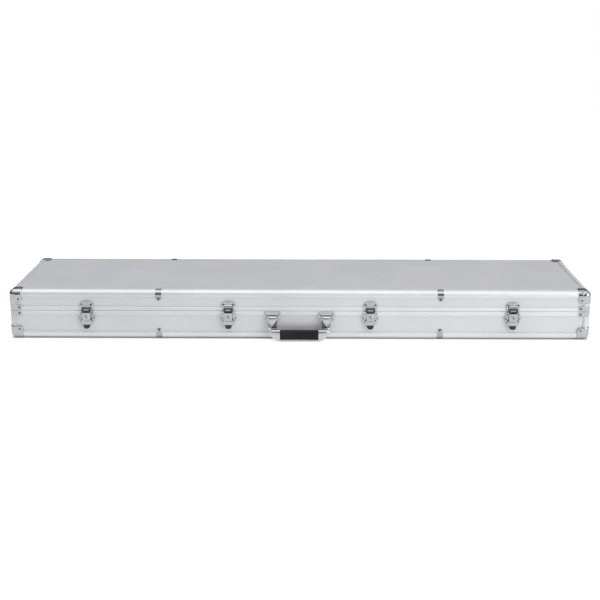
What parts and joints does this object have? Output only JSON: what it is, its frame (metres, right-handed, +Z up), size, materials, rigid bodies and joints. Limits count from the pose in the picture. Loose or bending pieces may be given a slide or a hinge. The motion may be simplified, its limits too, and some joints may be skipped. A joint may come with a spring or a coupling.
{
  "type": "cue case",
  "caption": "Long shallow hinged case for billiards cues, with metal edges, ball corners, draw latches and a folding front handle.",
  "frame": {"origin": "middle of the whole object's box, on the plane that the bottom ball corners rest on", "axes": "+X along the length to the right seen from the front, +Y from the handle side to the hinge side, +Z up"},
  "size_m": [1.34, 0.382, 0.1165],
  "materials": {
    "laminate": "satin",
    "aluminium": "satin",
    "corner_metal": "gloss",
    "chrome": "gloss",
    "steel": "satin",
    "foam": "matte",
    "grip": "satin"
  },
  "bodies": {
    "base": {"base_bottom_panel": "laminate", "base_front_board": "laminate", "base_back_board": "laminate", "base_left_board": "laminate", "base_right_board": "laminate", "base_edge_frame": "aluminium", "base_valance": "aluminium", "base_foam": "foam", "base_corner_front_left": "corner_metal", "base_corner_front_right": "corner_metal", "base_corner_rear_left": "corner_metal", "base_corner_rear_right": "corner_metal", "hinge_left_base_leaf": "steel", "hinge_middle_base_leaf": "steel", "hinge_right_base_leaf": "steel", "hinge_left_pin": "steel", "hinge_middle_pin": "steel", "hinge_right_pin": "steel", "latch_far_left_base": "chrome", "latch_left_base": "chrome", "latch_right_base": "chrome", "latch_far_right_base": "chrome", "handle_bracket_left": "chrome", "handle_bracket_right": "chrome"},
    "lid": {"lid_top_panel": "laminate", "lid_front_board": "laminate", "lid_back_board": "laminate", "lid_left_board": "laminate", "lid_right_board": "laminate", "lid_edge_frame": "aluminium", "lid_valance": "aluminium", "lid_foam": "foam", "lid_corner_front_left": "corner_metal", "lid_corner_front_right": "corner_metal", "lid_corner_rear_left": "corner_metal", "lid_corner_rear_right": "corner_metal", "hinge_left_lid_leaf": "steel", "hinge_middle_lid_leaf": "steel", "hinge_right_lid_leaf": "steel", "latch_far_left_keeper": "chrome", "latch_left_keeper": "chrome", "latch_right_keeper": "chrome", "latch_far_right_keeper": "chrome"},
    "handle": {"handle_frame": "chrome", "handle_grip": "grip"},
    "lever_far_left": {"latch_far_left_lever": "chrome"},
    "hook_far_left": {"latch_far_left_hook": "chrome"},
    "lock_barrel_far_left": {"latch_far_left_lock_barrel": "chrome"},
    "lever_left": {"latch_left_lever": "chrome"},
    "hook_left": {"latch_left_hook": "chrome"},
    "lock_barrel_left": {"latch_left_lock_barrel": "chrome"},
    "lever_right": {"latch_right_lever": "chrome"},
    "hook_right": {"latch_right_hook": "chrome"},
    "lock_barrel_right": {"latch_right_lock_barrel": "chrome"},
    "lever_far_right": {"latch_far_right_lever": "chrome"},
    "hook_far_right": {"latch_far_right_hook": "chrome"},
    "lock_barrel_far_right": {"latch_far_right_lock_barrel": "chrome"}
  },
  "joints": [
    {"name": "lid_hinge", "type": "hinge", "parent": "base", "child": "lid", "pos_m": [0, 0.18785, 0.0676], "axis": [-1, 0, 0], "range_deg": [0, 95]},
    {"name": "handle_swing", "type": "hinge", "parent": "base", "child": "handle", "pos_m": [0, -0.16865, 0.054], "axis": [-1, 0, 0], "range_deg": [0, 100]},
    {"name": "latch_far_left_lever_swing", "type": "hinge", "parent": "base", "child": "lever_far_left", "pos_m": [-0.4905, -0.16825, 0.062], "axis": [-1, 0, 0], "range_deg": [0, 105]},
    {"name": "latch_far_left_hook_swing", "type": "hinge", "parent": "lever_far_left", "child": "hook_far_left", "pos_m": [-0.4905, -0.16825, 0.053], "axis": [-1, 0, 0], "range_deg": [-116, 0]},
    {"name": "latch_far_left_lock_turn", "type": "hinge", "parent": "lever_far_left", "child": "lock_barrel_far_left", "pos_m": [-0.4905, -0.17125, 0.0552], "axis": [0, -1, 0], "range_deg": [0, 90]},
    {"name": "latch_left_lever_swing", "type": "hinge", "parent": "base", "child": "lever_left", "pos_m": [-0.1635, -0.16825, 0.062], "axis": [-1, 0, 0], "range_deg": [0, 105]},
    {"name": "latch_left_hook_swing", "type": "hinge", "parent": "lever_left", "child": "hook_left", "pos_m": [-0.1635, -0.16825, 0.053], "axis": [-1, 0, 0], "range_deg": [-116, 0]},
    {"name": "latch_left_lock_turn", "type": "hinge", "parent": "lever_left", "child": "lock_barrel_left", "pos_m": [-0.1635, -0.17125, 0.0552], "axis": [0, -1, 0], "range_deg": [0, 90]},
    {"name": "latch_right_lever_swing", "type": "hinge", "parent": "base", "child": "lever_right", "pos_m": [0.1635, -0.16825, 0.062], "axis": [-1, 0, 0], "range_deg": [0, 105]},
    {"name": "latch_right_hook_swing", "type": "hinge", "parent": "lever_right", "child": "hook_right", "pos_m": [0.1635, -0.16825, 0.053], "axis": [-1, 0, 0], "range_deg": [-116, 0]},
    {"name": "latch_right_lock_turn", "type": "hinge", "parent": "lever_right", "child": "lock_barrel_right", "pos_m": [0.1635, -0.17125, 0.0552], "axis": [0, -1, 0], "range_deg": [0, 90]},
    {"name": "latch_far_right_lever_swing", "type": "hinge", "parent": "base", "child": "lever_far_right", "pos_m": [0.4905, -0.16825, 0.062], "axis": [-1, 0, 0], "range_deg": [0, 105]},
    {"name": "latch_far_right_hook_swing", "type": "hinge", "parent": "lever_far_right", "child": "hook_far_right", "pos_m": [0.4905, -0.16825, 0.053], "axis": [-1, 0, 0], "range_deg": [-116, 0]},
    {"name": "latch_far_right_lock_turn", "type": "hinge", "parent": "lever_far_right", "child": "lock_barrel_far_right", "pos_m": [0.4905, -0.17125, 0.0552], "axis": [0, -1, 0], "range_deg": [0, 90]}
  ],
  "couplings": [
    {"joint": "latch_far_left_hook_swing", "follows": "latch_far_left_lever_swing", "ratio": -1.1},
    {"joint": "latch_left_hook_swing", "follows": "latch_left_lever_swing", "ratio": -1.1},
    {"joint": "latch_right_hook_swing", "follows": "latch_right_lever_swing", "ratio": -1.1},
    {"joint": "latch_far_right_hook_swing", "follows": "latch_far_right_lever_swing", "ratio": -1.1}
  ]
}
